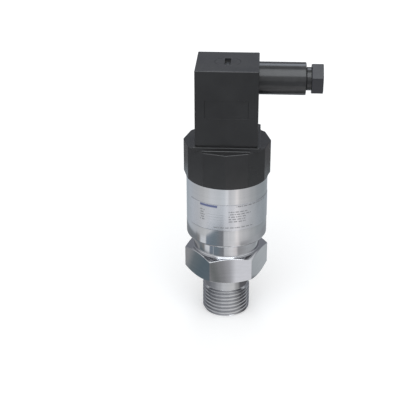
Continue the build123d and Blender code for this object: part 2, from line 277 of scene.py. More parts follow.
def skin(points, worn=None, wrap_rows=True, wrap_columns=True):
    """Vertices, faces and wear of one closed surface over a grid of points.

    Each cell of the grid is a face. A direction that doesn't wrap is closed by one face at each
    of its ends.
    """
    rows, columns = points.shape[:2]
    verts = points.reshape(-1, 3)
    index = np.arange(rows * columns).reshape(rows, columns)
    up, down = (index, np.roll(index, -1, axis=0)) if wrap_rows else (index[:-1], index[1:])
    if wrap_columns:
        cells = (up, np.roll(up, -1, 1), np.roll(down, -1, 1), down)
    else:
        cells = (up[:, :-1], up[:, 1:], down[:, 1:], down[:, :-1])
    quads = np.stack(cells, axis=-1).reshape(-1, 4)
    ends = []
    if not wrap_rows:
        ends += [index[0][::-1].tolist(), index[-1].tolist()]
    if not wrap_columns:
        ends += [index[:, 0].tolist(), index[:, -1][::-1].tolist()]
    volume = quads_volume(verts, quads)
    for end in ends:
        ring = verts[end]
        volume += (np.cross(ring[0], ring[1:-1]) * ring[2:]).sum()
    worn = np.zeros(rows) if worn is None else worn
    return verts, facing_out(quads.tolist() + ends, volume), np.repeat(worn, columns)


def sewn_skin(points, worn):
    """Vertices, faces and wear of a surface whose last column lies on its first, a turn on.

    Points that lie on one another become one. A face that loses a corner by that becomes a
    triangle, and one that loses more is left out.
    """
    rows, columns = points.shape[:2]
    verts = points.reshape(-1, 3)
    _, kept, index = np.unique(np.round(verts * 1e5), axis=0, return_index=True, return_inverse=True)
    index = index.reshape(rows, columns)
    down = np.roll(index, -1, axis=0)
    quads = np.stack([index[:, :-1], index[:, 1:], down[:, 1:], down[:, :-1]], axis=-1).reshape(-1, 4)
    repeated = quads == np.roll(quads, -1, axis=1)
    whole = quads[repeated.sum(1) == 0]
    cut = repeated.sum(1) == 1
    corners = quads[cut][~repeated[cut]].reshape(-1, 3)
    verts = verts[kept]
    faces = facing_out(whole.tolist() + corners.tolist(), quads_volume(verts, whole))
    return verts, faces, np.repeat(worn, columns)[kept]


def turned_skin(corners, angles, arc_steps=3, closed=True, along_x=False):
    """Closed surface of an outline turned about Z, or about the gland's axis.

    Where the outline isn't closed, one face fills each of its end rows.
    """
    rows, worn = turned_outline(corners, len(angles), arc_steps)
    points = swept(rows, angles)
    return skin(laid_along_x(points) if along_x else points, worn, wrap_rows=closed)


def plate_loop(half_x, half_y, corner, arc_steps=3):
    """Rounded rectangle: a quarter circle about each corner's centre, joined by straight sides."""
    turn = np.linspace(0, math.pi / 2, arc_steps + 1)
    quarter = np.stack([np.cos(turn), np.sin(turn)], axis=-1)
    loops = []
    for x_sign, y_sign, order in ((1, 1, 1), (-1, 1, -1), (-1, -1, 1), (1, -1, -1)):
        arc = quarter[::order] * corner
        arc = arc + np.array([half_x - corner, half_y - corner])
        loops.append(arc * np.array([x_sign, y_sign]))
    return np.concatenate(loops)


def plate_rows(levels, corner, x=0.0):
    """Rounded rectangles one above another, from (half x, half y, height) levels at a place on X."""
    rows = []
    for half_x, half_y, height in levels:
        loop = plate_loop(half_x, half_y, corner)
        rows.append(np.column_stack([loop[:, 0] + x, loop[:, 1], np.full(len(loop), height)]))
    return np.stack(rows)


def box_skin(half_x, half_y, base, top, corner):
    """Closed block of rounded-rectangle rows whose two end rows are pulled in by the rounding."""
    part = 0.3 * corner
    ends = [(corner, base), (part, base + part), (0, base + corner),
            (0, top - corner), (part, top - part), (corner, top)]
    levels = [(half_x - inset, half_y - inset, height) for inset, height in ends]
    return skin(plate_rows(levels, corner * 1.2), wrap_rows=False)


# Meshes and objects

def linked(name, data):
    """Object that shows the data, linked to the scene."""
    made = bpy.data.objects.new(name, data)
    bpy.context.scene.collection.objects.link(made)
    return made


def piece_from(name, skins):
    """Object whose mesh holds the given closed surfaces, in metres, with a wear attribute."""
    verts = np.concatenate([part[0] for part in skins]) * MM
    faces, start = [], 0
    for part in skins:
        faces += [[vertex + start for vertex in face] for face in part[1]]
        start += len(part[0])
    mesh = bpy.data.meshes.new(name)
    mesh.from_pydata(verts.tolist(), [], faces)
    mesh.attributes.new("wear", "FLOAT", "POINT")
    mesh.attributes["wear"].data.foreach_set("value", np.concatenate([part[2] for part in skins]))
    mesh.validate()
    return linked(name, mesh)


def shade(piece, sharp_degrees=38.0):
    """Smooth shading with crisp edges past an angle, and normals that keep large flats flat."""
    mesh = piece.data
    mesh.polygons.foreach_set("use_smooth", np.ones(len(mesh.polygons), bool))
    mesh.set_sharp_from_angle(angle=math.radians(sharp_degrees))
    weighted = piece.modifiers.new("flat_normals", "WEIGHTED_NORMAL")
    weighted.keep_sharp = True
    weighted.weight = 100


def combine(piece, tool, operation):
    """Joins a tool to the piece, or cuts it away, and removes the tool."""
    step = piece.modifiers.new("combine", "BOOLEAN")
    step.operation = operation
    step.solver = "EXACT"
    step.object = tool
    depsgraph = bpy.context.evaluated_depsgraph_get()
    mesh = bpy.data.meshes.new_from_object(piece.evaluated_get(depsgraph), depsgraph=depsgraph)
    if len(mesh.polygons) == 0:
        raise RuntimeError("combining " + tool.name + " with " + piece.name + " left nothing")
    piece.modifiers.clear()
    old = piece.data
    piece.data = mesh
    bpy.data.meshes.remove(old)
    bpy.data.objects.remove(tool)


def dress(thing, material):
    """Makes a material the only one of a piece or of a solid that is shown as it is."""
    thing.data.materials.clear()
    thing.data.materials.append(material)


def fit_out(piece, body, nodes, material):
    """Gives a piece its finish, its body and the solids it stands for."""
    shade(piece)
    dress(piece, material)
    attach(piece, body)
    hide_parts(*nodes)


# Node helpers

class Wiring:
    """Adds and joins nodes in one node tree."""

    def __init__(self, tree):
        self.tree = tree

    def feed(self, socket, value):
        """Links a socket's source to it, or sets its plain value."""
        if isinstance(value, bpy.types.NodeSocket):
            self.tree.links.new(value, socket)
        else:
            socket.default_value = value

    def node(self, kind, inputs=None, **settings):
        """Outputs of a new node, whose inputs are given by name or number."""
        made = self.tree.nodes.new(kind)
        for name, value in settings.items():
            setattr(made, name, value)
        for socket, value in (inputs or {}).items():
            self.feed(made.inputs[socket], value)
        return made.outputs

    def maths(self, operation, first, second=0.0, clamp=False):
        return self.node("ShaderNodeMath", {0: first, 1: second}, operation=operation,
                         use_clamp=clamp)[0]

    def spread(self, value, low_in, high_in, low_out=0.0, high_out=1.0):
        """Moves a value from one range to another, in a straight line and held at the ends."""
        ranges = (value, low_in, high_in, low_out, high_out)
        return self.node("ShaderNodeMapRange", dict(enumerate(ranges)), clamp=True)[0]

    def noise(self, vector, scale, detail):
        return self.node("ShaderNodeTexNoise", {"Vector": vector, "Scale": scale,
                                                "Detail": detail})["Fac"]

    def blend(self, factor, first, second):
        """Colour between two others."""
        return self.node("ShaderNodeMix", {0: factor, 6: first, 7: second}, data_type="RGBA")[2]

    def mixed(self, factor, first, second):
        """Shader between two others."""
        return self.node("ShaderNodeMixShader", {0: factor, 1: first, 2: second})[0]

    def split(self, vector):
        return self.node("ShaderNodeSeparateXYZ", {0: vector})

    def joined(self, x, y, z):
        return self.node("ShaderNodeCombineXYZ", {0: x, 1: y, 2: z})[0]

    def across(self, x, y):
        """Distance from the axis."""
        return self.maths("SQRT", self.maths("ADD", self.maths("MULTIPLY", x, x),
                                             self.maths("MULTIPLY", y, y)))

    def glow(self, colour, strength):
        return self.node("ShaderNodeEmission", {"Color": colour, "Strength": strength})[0]


VECTOR, FLOAT = "NodeSocketVector", "NodeSocketFloat"


def shared_group(name, inputs, outputs):
    """Empty node group: its tree, the wiring to fill it, and its named sockets inside."""
    tree = bpy.data.node_groups.new(name, "ShaderNodeTree")
    for label, kind in inputs.items():
        tree.interface.new_socket(label, in_out="INPUT", socket_type=kind)
    for label in outputs:
        tree.interface.new_socket(label, in_out="OUTPUT", socket_type=FLOAT)
    given = tree.nodes.new("NodeGroupInput")
    result = tree.nodes.new("NodeGroupOutput")
    return tree, Wiring(tree), given.outputs, result.inputs


def turned_marks_group():
    """Fine rings that a lathe leaves: noise over the radius and the height, almost without change
    around the axis. Rings is the fine height, Tone a broad change of shade."""
    tree, wires, given, result = shared_group(
        "turned_marks", {"Position": VECTOR, "Rings per metre": FLOAT}, ["Rings", "Tone"])
    x, y, z = wires.split(given["Position"])
    radius = wires.across(x, y)
    fine_drift, broad_drift, bands = 25.0, 12.0, 900.0
    rings = given["Rings per metre"]
    around = wires.maths("MULTIPLY", wires.maths("ADD", x, y), fine_drift)
    fine = wires.joined(wires.maths("MULTIPLY", radius, rings), wires.maths("MULTIPLY", z, rings), around)
    wires.feed(result["Rings"], wires.noise(fine, 1.0, 3.0))
    around = wires.maths("MULTIPLY", wires.maths("SUBTRACT", x, y), broad_drift)
    broad = wires.joined(wires.maths("MULTIPLY", radius, bands), wires.maths("MULTIPLY", z, bands), around)
    wires.feed(result["Tone"], wires.noise(broad, 1.0, 2.0))
    return tree


def moulded_skin_group():
    """Skin of a moulded or fired piece: an even fine grain, and slow changes of sheen."""
    tree, wires, given, result = shared_group(
        "moulded_skin", {"Position": VECTOR, "Grains per metre": FLOAT}, ["Grain", "Sheen"])
    grain = wires.node("ShaderNodeTexVoronoi", {"Vector": given["Position"],
                                                "Scale": given["Grains per metre"]},
                       feature="SMOOTH_F1")
    wires.feed(result["Grain"], grain["Distance"])
    wires.feed(result["Sheen"], wires.noise(given["Position"], 120.0, 3.0))
    return tree


def edge_rub_group():
    """Where hands and tools have rubbed an edge: the wear attribute, broken up by noise."""
    tree, wires, given, result = shared_group("edge_rub", {"Position": VECTOR, "Edge": FLOAT}, ["Rub"])
    patches = wires.spread(wires.noise(given["Position"], 420.0, 4.0), 0.35, 0.62, 0.15, 1.0)
    wires.feed(result["Rub"], wires.maths("MULTIPLY", given["Edge"], patches))
    return tree


def dust_group():
    """Faint dust: it lies where the surface looks up, in soft patches with specks."""
    tree, wires, given, result = shared_group(
        "settled_dust", {"Position": VECTOR, "Normal": VECTOR}, ["Dust"])
    up = wires.spread(wires.split(given["Normal"])[Z], 0.3, 1.0)
    patches = wires.spread(wires.noise(given["Position"], 150.0, 3.0), 0.4, 0.75, 0.1, 0.6)
    specks = wires.spread(wires.noise(given["Position"], 2600.0, 1.0), 0.62, 0.72, 0.0, 0.6)
    dust = wires.maths("MULTIPLY", up, wires.maths("ADD", patches, specks), clamp=True)
    wires.feed(result["Dust"], dust)
    return tree


GROUP_MAKERS = {
    "turned_marks": turned_marks_group,
    "moulded_skin": moulded_skin_group,
    "edge_rub": edge_rub_group,
    "settled_dust": dust_group,
}


def use_group(wires, name, values):
    """Places a shared effect in a material; the group is built the first time it is asked for."""
    tree = bpy.data.node_groups.get(name) or GROUP_MAKERS[name]()
    return wires.node("ShaderNodeGroup", values, node_tree=tree)


# Finishes

FINISHES = {}


def made_once(maker):
    """Gives a finish again, where one of that name was made before."""
    @functools.wraps(maker)
    def give(name, *values, **settings):
        if name not in FINISHES:
            FINISHES[name] = maker(name, *values, **settings)
        return FINISHES[name]
    return give


def new_material(name):
    """Material with an empty shader: itself, its wiring, the shader's inputs, the position on the
    object."""
    if name in bpy.data.materials:
        raise RuntimeError("there is already a material called " + name)
    material = bpy.data.materials.new(name)
    material.use_nodes = True
    wires = Wiring(material.node_tree)
    shader = material.node_tree.nodes["Principled BSDF"].inputs
    return material, wires, shader, wires.node("ShaderNodeTexCoord")["Object"]


def rgb(colour, share=1.0):
    """Colour with its alpha, made darker or lighter by a share."""
    return (colour[0] * share, colour[1] * share, colour[2] * share, 1.0)


def toned(wires, mark, colour, dark, light):
    """Colour that goes from a darker to a lighter share of itself with a mark."""
    return wires.blend(wires.spread(mark, 0.3, 0.7), rgb(colour, dark), rgb(colour, light))


def edge_rub(wires, place):
    """How far each point's edge is rubbed."""
    edge = wires.node("ShaderNodeAttribute", attribute_name="wear")["Fac"]
    return use_group(wires, "edge_rub", {"Position": place, "Edge": edge})["Rub"]


def bumped(wires, shader, height, strength, distance):
    """Roughens the shader's surface by a height; the distance is in metres."""
    bump = wires.node("ShaderNodeBump", {"Strength": strength, "Distance": distance,
                                         "Height": height})
    wires.feed(shader["Normal"], bump[0])


@made_once
def turned_metal(name, colour, roughness, ring_count, ring_depth):
    """Machined metal: lathe rings in its bump, and a tone that changes along and across them."""
    made, wires, shader, place = new_material(name)
    marks = use_group(wires, "turned_marks", {"Position": place, "Rings per metre": ring_count})
    tone = toned(wires, marks["Tone"], colour, dark=0.97, light=1.03)
    rubbed = wires.blend(edge_rub(wires, place), tone, rgb(colour, 1.2))
    sheen = wires.spread(marks["Rings"], 0.3, 0.7, roughness * 0.85, roughness * 1.2)
    wires.feed(shader["Base Color"], rubbed)
    wires.feed(shader["Metallic"], 1.0)
    wires.feed(shader["Roughness"], sheen)
    bumped(wires, shader, marks["Rings"], 0.6, ring_depth)
    return made


@made_once
def moulded(name, colour, roughness, grain_count, grain_depth, edge_light=1.5, dust=0.06):
    """Moulded, pressed or fired material: fine grain, slow changes of sheen, rubbed edges, dust."""
    made, wires, shader, place = new_material(name)
    dust_colour = (0.45, 0.43, 0.40, 1.0)
    marks = use_group(wires, "moulded_skin", {"Position": place, "Grains per metre": grain_count})
    rub = edge_rub(wires, place)
    normal = wires.node("ShaderNodeNewGeometry")["Normal"]
    settled = use_group(wires, "settled_dust", {"Position": place, "Normal": normal})["Dust"]
    tone = toned(wires, marks["Sheen"], colour, dark=0.88, light=1.1)
    rubbed = wires.blend(rub, tone, rgb(colour, edge_light))
    dusted = wires.blend(wires.maths("MULTIPLY", settled, dust), rubbed, dust_colour)
    sheen = wires.spread(marks["Sheen"], 0.25, 0.75, roughness * 0.9, roughness * 1.12)
    polish = wires.maths("MULTIPLY", rub, 0.08)
    wires.feed(shader["Base Color"], dusted)
    wires.feed(shader["Roughness"], wires.maths("SUBTRACT", sheen, polish))
    bumped(wires, shader, marks["Grain"], 0.5, grain_depth)
    return made


@made_once
def label_foil(name, colour):
    """Silver foil with print: the ink attribute darkens it, the tint attribute colours the ink."""
    made, wires, shader, place = new_material(name)
    black_ink, blue_ink = (0.05, 0.05, 0.055, 1.0), (0.035, 0.06, 0.22, 1.0)
    marks = use_group(wires, "moulded_skin", {"Position": place, "Grains per metre": 5000.0})
    ink = wires.node("ShaderNodeAttribute", attribute_name="ink")["Fac"]
    tint = wires.node("ShaderNodeAttribute", attribute_name="tint")["Fac"]
    tone = toned(wires, marks["Sheen"], colour, dark=0.95, light=1.05)
    wires.feed(shader["Base Color"], wires.blend(ink, tone, wires.blend(tint, black_ink, blue_ink)))
    wires.feed(shader["Metallic"], wires.spread(ink, 0.0, 1.0, 1.0, 0.1))
    wires.feed(shader["Roughness"], wires.spread(marks["Sheen"], 0.25, 0.75, 0.17, 0.22))
    bumped(wires, shader, marks["Grain"], 0.4, 0.000004)
    return made


@made_once
def plated_metal(name, colour, roughness):
    """Plated or pressed metal: an even fine grain, and patches where the plating is duller."""
    made, wires, shader, place = new_material(name)
    marks = use_group(wires, "moulded_skin", {"Position": place, "Grains per metre": 7000.0})
    sheen = wires.spread(marks["Sheen"], 0.25, 0.75, roughness * 0.8, roughness * 1.25)
    wires.feed(shader["Base Color"], toned(wires, marks["Sheen"], colour, dark=0.85, light=1.08))
    wires.feed(shader["Metallic"], 1.0)
    wires.feed(shader["Roughness"], sheen)
    bumped(wires, shader, marks["Grain"], 0.5, 0.000004)
    return made


def body_steel(finish):
    """Smooth turned steel of the connection and the clamp ring."""
    return turned_metal("turned_steel", finish.steel, 0.06, 5200.0, 0.0000012)


def tube_steel(finish):
    """Turned steel of the tube, a little duller and with finer rings."""
    return turned_metal("tube_steel", finish.steel, 0.075, 6500.0, 0.0000009)


def plug_plastic(finish):
    """Black plastic of the cap, the base and the plug."""
    return moulded("plug_moulding", finish.plastic, 0.22, 5200.0, 0.000004)


def seal_rubber(finish):
    """Dull rubber of the seals, which holds more dust than the plastic."""
    return moulded("seal_rubber", finish.rubber, 0.62, 3600.0, 0.000015, edge_light=1.2, dust=0.12)


def tin_plating():
    """Tin on the contacts."""
    return plated_metal("tin_plating", (0.62, 0.62, 0.60), 0.34)


def zinc_plating():
    """Dark zinc on the screws."""
    return turned_metal("zinc_plating", (0.15, 0.155, 0.16), 0.35, 4200.0, 0.000004)


# Sizes and colours that a user may change

def length(label, text, millimetres):
    """Setting for a length, with its default given in millimetres."""
    return FloatProperty(name=label, description=text, default=millimetres * MM, unit="LENGTH",
                         subtype="DISTANCE", precision=5)


def colour(label, text, value):
    """Setting for a colour."""
    return FloatVectorProperty(name=label, description=text, default=value, size=3,
                               subtype="COLOR", min=0.0, max=1.0)


class TransmitterBodySizes(bpy.types.PropertyGroup):
    """Sizes of the steel body."""
    thread_diameter: length("Thread diameter", "Outside diameter of the process thread", 20.955)
    thread_pitch: length("Thread pitch", "Rise of the process thread in one turn", 1.814)
    thread_depth: length("Thread depth", "Depth of the process thread", 1.162)
    thread_length: length("Thread length", "Length of the threaded end", 13.6)
    neck_diameter: length("Neck diameter", "Plain neck between thread and hexagon", 19.4)
    hexagon_flats: length("Hexagon flats", "Width over the hexagon's flats", 32.0)
    hexagon_base: length("Hexagon base", "Height of the hexagon's lower face", 20.0)
    hexagon_top: length("Hexagon top", "Height of the hexagon's upper face", 33.0)
    chamfer_diameter: length("Chamfer diameter", "Circle where the lower chamfer starts", 28.2)
    top_chamfer_diameter: length("Top chamfer diameter", "Circle where the upper chamfer starts", 31.4)
    collar_diameter: length("Collar diameter", "Round collar above the hexagon", 29.0)
    edge_radius: length("Edge radius", "Rounding of the sleeve's lower edge", 1.0)


class TransmitterPlugSizes(bpy.types.PropertyGroup):
    """Sizes of the cap, the plug and the gland."""
    cap_flats: length("Cap flats", "Width over the cap's twelve flats", 36.0)
    cap_bevel: length("Cap bevel", "Bevel around the cap's top", 0.2)
    skirt_height: length("Skirt height", "Round rim of the cap below its twelve flats", 0.8)
    plug_width: length("Plug width", "Side of the plug's square", 26.0)
    plug_edge: length("Plug edge", "Rounding of the plug's edges", 0.35)
    field_width: length("Field width", "Bare shallow field on the plug's front", 18.0)
    field_height: length("Field height", "Height of that field", 7.9)
    field_depth: length("Field depth", "Depth of that field", 0.3)
    barrel_diameter: length("Barrel diameter", "Round barrel of the cable entry", 13.5)
    nut_flats: length("Nut flats", "Width over the gland nut's flats", 12.0)


class TransmitterFinish(bpy.types.PropertyGroup):
    """Colours of the finishes."""
    steel: colour("Steel", "Turned stainless steel", (0.60, 0.605, 0.62))
    plastic: colour("Plastic", "Black moulded plastic", (0.0205, 0.021, 0.0225))
    gland_plastic: colour("Gland plastic", "Plastic of the gland nut", (0.018, 0.0195, 0.026))
    rubber: colour("Rubber", "Seals", (0.018, 0.018, 0.019))
    foil: colour("Foil", "Label foil", (0.66, 0.67, 0.70))


class TransmitterStageSettings(bpy.types.PropertyGroup):
    """Camera and light."""
    camera_place: FloatVectorProperty(name="Camera place", description="Where the camera stands",
                                      default=(0.01422, -0.40450, 0.24872), size=3, unit="LENGTH",
                                      subtype="TRANSLATION")
    focal_length: FloatProperty(name="Focal length", description="Lens in millimetres over a 36 mm frame",
                                default=88.1, min=10.0, max=300.0)
    daylight: FloatProperty(name="Daylight", description="Even light from all sides", default=0.5,
                            min=0.0, max=3.0)
    key_power: FloatProperty(name="Key power", description="Power of the large lamp above",
                             default=6.0, min=0.0, max=100.0, unit="POWER")


# Process connection and tube

def process_connection_skin(sizes):
    """Bar turned about Z with a hexagon, seen as one closed outline in every direction.

    The hexagon's rows follow prism_reach. Where a cone from a chamfer circle crosses a flat, its
    height changes with the reach, which gives the curved chamfer edges. The thread's rows follow
    thread_reach, held inside the cone of the lead-in chamfer.
    """
    thread = sizes.thread_diameter / 2 / MM
    depth = sizes.thread_depth / MM
    pitch = sizes.thread_pitch / MM
    end = sizes.thread_length / MM
    neck = sizes.neck_diameter / 2 / MM
    base, top = sizes.hexagon_base / MM, sizes.hexagon_top / MM
    flats = sizes.hexagon_flats / MM
    edge = sizes.chamfer_diameter / 2 / MM
    top_edge = sizes.top_chamfer_diameter / 2 / MM
    collar = sizes.collar_diameter / 2 / MM
    spigot = low("housing_sleeve", Z)
    turn = math.radians(9.05)
    corner = 0.25
    angles = prism_columns(6, flats, corner, turn, arc_steps=4, flat_steps=36)
    angles = np.append(angles, angles[0] + FULL_TURN)
    reach = prism_reach(angles, 6, flats, corner, turn)
    rise = (reach - edge) * math.tan(math.radians(30.0))
    drop = (reach - top_edge) * math.tan(math.radians(25.0))
    lead = 1.2
    port = 2.5
    thread_stop = end - 0.5
    ring_base = low("sensor_clamp_ring", Z)
    ring_seat = high("sensor_clamp_ring", X) + 0.05
    chamber = high("sensor_cell", X) + 0.1
    cell = low("sensor_cell", Z) - 0.3
    corners = [
        (port, 0, 0.2), (thread - lead, 0, 0.1), (thread, lead, 0.0), (thread, thread_stop, 0.0),
        (neck, end, 0.1), (neck, base, 0.5), (edge, base, 0.15), (reach, base + rise, 0.2),
        (reach, top - drop, 0.2), (top_edge, top, 0.15), (collar, top, 0.35),
        (collar, spigot - 0.25, 0.1), (collar - 0.2, spigot, 0.0), (SPIGOT_RADIUS, spigot, 0.0),
        (SPIGOT_RADIUS, SPIGOT_TOP, 0.2), (ring_seat, SPIGOT_TOP, 0.2), (ring_seat, ring_base, 0.0),
        (chamber, ring_base, 0.0), (chamber, cell, 0.0), (port, cell, 0.1),
    ]
    rows, worn = turned_outline(corners, len(angles))
    first = int(np.argmin(np.abs(rows[:, 0, 1] - lead) + np.abs(rows[:, 0, 0] - thread)))
    levels = wound_heights(angles, pitch, 0.05, thread_stop)
    helix = thread_reach(angles, levels, thread, pitch, depth, -2.0, end + 0.3, 1.6)
    helix = np.minimum(helix, thread - lead + levels)
    rows = np.concatenate([rows[:first], np.stack([helix, levels], axis=-1), rows[first + 2:]])
    worn = np.concatenate([worn[:first], np.zeros(len(levels)), worn[first + 2:]])
    return sewn_skin(swept(rows, angles), worn)


def housing_sleeve_skin(sizes):
    """Tube turned about Z: a closed outline of straight sides with rounded corners."""
    base, top = low("housing_sleeve", Z), high("housing_sleeve", Z)
    shoulder = low("housing_cap", Z)
    rim = TUBE_RADIUS - TUBE_STEP
    corners = [
        (SPIGOT_RADIUS, base, 0.0), (TUBE_RADIUS, base, sizes.edge_radius / MM),
        (TUBE_RADIUS, shoulder, 0.15), (rim, shoulder, 0.0), (rim, top, 0.1), (SPIGOT_RADIUS, top, 0.1),
    ]
    return turned_skin(corners, round_columns(256), arc_steps=6)


def label_bars():
    """Plain bars of the label: a heading, two columns of rows and a foot line.

    Each is (first angle, last angle, height, thickness, tint): degrees about Z and millimetres.
    """
    left, rules, right = -127.8, -117.0, -85.5
    row_thickness, rule_thickness = 0.5, 0.08
    right_ends = (-58.0, -52.3, -60.0, -61.0, -60.5)
    bars = [(left, -101.0, 58.75, 1.05, 1.0), (-75.0, -23.0, 58.85, 0.55, 0.0)]
    for index, height in enumerate(np.linspace(56.4, 51.9, 5)):
        bars.append((left, -120.0 - (index % 2), height, row_thickness, 0.0))
        bars.append((rules, -92.5, height - 0.35, rule_thickness, 0.0))
        bars.append((right, right_ends[index], height, row_thickness, 0.0))
    bars.append((-106.6, -49.0, 49.05, 0.45, 0.0))
    return bars


def label_ink(angles, heights):
    """Share of ink at each angle and height, and its tint.

    A bar's share is its eased cover across the height, times a row of dashes: the angle's steps
    of half a degree to a degree and a half are filled or left open by a fixed sine rule, so that
    a bar reads as a row of plain dashes. The heading and the thin rules have no dashes.
    """
    degrees, height = np.meshgrid(np.degrees(angles), heights)
    ink = np.zeros_like(degrees)
    tint = np.zeros_like(degrees)
    soft_end = 0.35
    for start, end, middle, thick, blue in label_bars():
        is_rule, is_heading = thick < 0.2, blue > 0.5
        across = smooth(1.5 - np.abs(height - middle) / (thick / 2))
        along = smooth((degrees - start) / soft_end) * smooth((end - degrees) / soft_end)
        if not (is_rule or is_heading):
            beat = np.sin(degrees * 1.9 + middle * 3.1) + np.sin(degrees * 0.83 + middle)
            along = along * smooth(1.2 + beat)
        cover = across * along * (0.35 if is_rule else 0.85 if is_heading else 0.6)
        tint = np.where(cover > ink, blue, tint)
        ink = np.maximum(ink, cover)
    return ink, tint


def name_label_piece():
    """Foil bent round the tube: radius and height make its thin closed outline, which is carried
    along the angle. Ink and tint are stored at its points."""
    foil, edge = 0.1, 0.04
    outer = TUBE_RADIUS + foil
    base, top = low("name_label", Z), high("name_label", Z)
    angles = np.radians(np.linspace(-147.0, -3.0, 420))
    heights = np.linspace(base, top, 96)
    radii = np.concatenate([np.full(len(heights), outer), np.full(2, TUBE_RADIUS)])
    radii[[0, len(heights) - 1]] = outer - edge
    levels = np.concatenate([heights, [top, base]])
    rows = np.repeat(np.stack([radii, levels], axis=-1)[:, None], len(angles), axis=1)
    piece = piece_from("name_label_foil", [skin(swept(rows, angles), wrap_columns=False)])
    ink, tint = label_ink(angles, heights)
    blank = np.zeros((2, len(angles)))
    for name, values in (("ink", ink), ("tint", tint)):
        stored = piece.data.attributes.new(name, "FLOAT", "POINT")
        stored.data.foreach_set("value", np.concatenate([values, blank]).ravel())
    return piece


# Cap, base and blades

def housing_cap_skin(sizes):
    """Twelve-sided cap: outline rows whose outer radius follows prism_reach, and a thin round rim
    that reaches a little way down the tube."""
    bevel = sizes.cap_bevel / MM
    base, top = low("housing_cap", Z), high("housing_cap", Z)
    angles, reach = prism(12, sizes.cap_flats / MM, 0.5, 0.0, arc_steps=4, flat_steps=12)
    bore = TUBE_RADIUS - TUBE_STEP + 0.05
    opening = BOSS_RADIUS + 0.1
    ceiling = high("cap_o_ring", Z)
    tube = TUBE_RADIUS + 0.02
    rim = tube + 0.26
    rim_end = base - sizes.skirt_height / MM
    corners = [
        (bore, base, 0.0), (tube, base, 0.0), (tube, rim_end, 0.0), (rim, rim_end, 0.2),
        (rim, base, 0.0), (reach, base, 0.2), (reach, top - bevel, 0.12),
        (reach - bevel, top, 0.12), (opening, top, 0.15), (opening, ceiling, 0.0),
        (bore, ceiling, 0.0),
    ]
    return turned_skin(corners, angles)


def connector_base_skin():
    """Square flange on a round boss: the flange's rows follow a prism of four sides, the boss's
    and the bush hole's rows are circles in the same directions. The flange has a slanted foot
    where it stands on the cap, and none where its corners reach past the cap's edge."""
    width = high("connector_base", X) * 2
    angles, reach = prism(4, width, 0.6, SQUARE_TURN, arc_steps=5, flat_steps=26)
    base, top = low("connector_base", Z), high("connector_base", Z)
    under = high("housing_cap", Z)
    hole = high("base_thread_bush", X)
    foot = 0.2
    foot_edge = np.maximum(reach, np.minimum(reach + foot, high("housing_cap", X) - 0.4))
    corners = [
        (hole, low("base_thread_bush", Z), 0.0), (hole, top, 0.12), (reach, top, 0.22),
        (reach, under + foot, 0.0), (foot_edge, under + 0.02, 0.0), (foot_edge, under, 0.0),
        (BOSS_RADIUS, under, 0.0), (BOSS_RADIUS, base, 0.3), (BOSS_RADIUS * 0.5, base, 0.0),
    ]
    return turned_skin(corners, angles, closed=False)


def blade_skin(node, degrees):
    """Flat contact: rounded-rectangle rows up the blade, narrow at its tail, full at its root and
    pulled in on both sides of its tip."""
    tip, tail = high(node, Z), low(node, Z)
    root = high("housing_cap", Z) - 4.0
    thick, wide = BLADE_HALF
    levels = [
        (thick, 1.4, tail), (thick, 1.4, root - 0.3), (thick, wide, root), (thick, wide, tip - 1.3),
        (0.36, 3.0, tip - 0.9), (0.28, 2.6, tip - 0.35), (0.18, 2.2, tip),
    ]
    return skin(turned_about_z(plate_rows(levels, 0.1, BLADE_PLACE), degrees), wrap_rows=False)


def profile_gasket_skin():
    """Square rubber ring with a lip: a stepped outline whose radii follow four-sided prisms."""
    outer = high("profile_gasket", X) * 2
    base, top = low("profile_gasket", Z), high("profile_gasket", Z)
    face = low("plug_housing", Z)
    angles, edge = prism(4, outer, 1.0, SQUARE_TURN, arc_steps=6, flat_steps=24)
    lip = prism_reach(angles, 4, CAVITY_WIDTH - 0.1, 0.8, SQUARE_TURN)
    inner = prism_reach(angles, 4, 19.4, 0.6, SQUARE_TURN)
    corners = [
        (inner, base, 0.1), (edge, base, 0.15), (edge, face, 0.15), (lip, face, 0.1),
        (lip, top, 0.25), (inner, top, 0.25),
    ]
    return turned_skin(corners, angles)


# Plug with its barrel

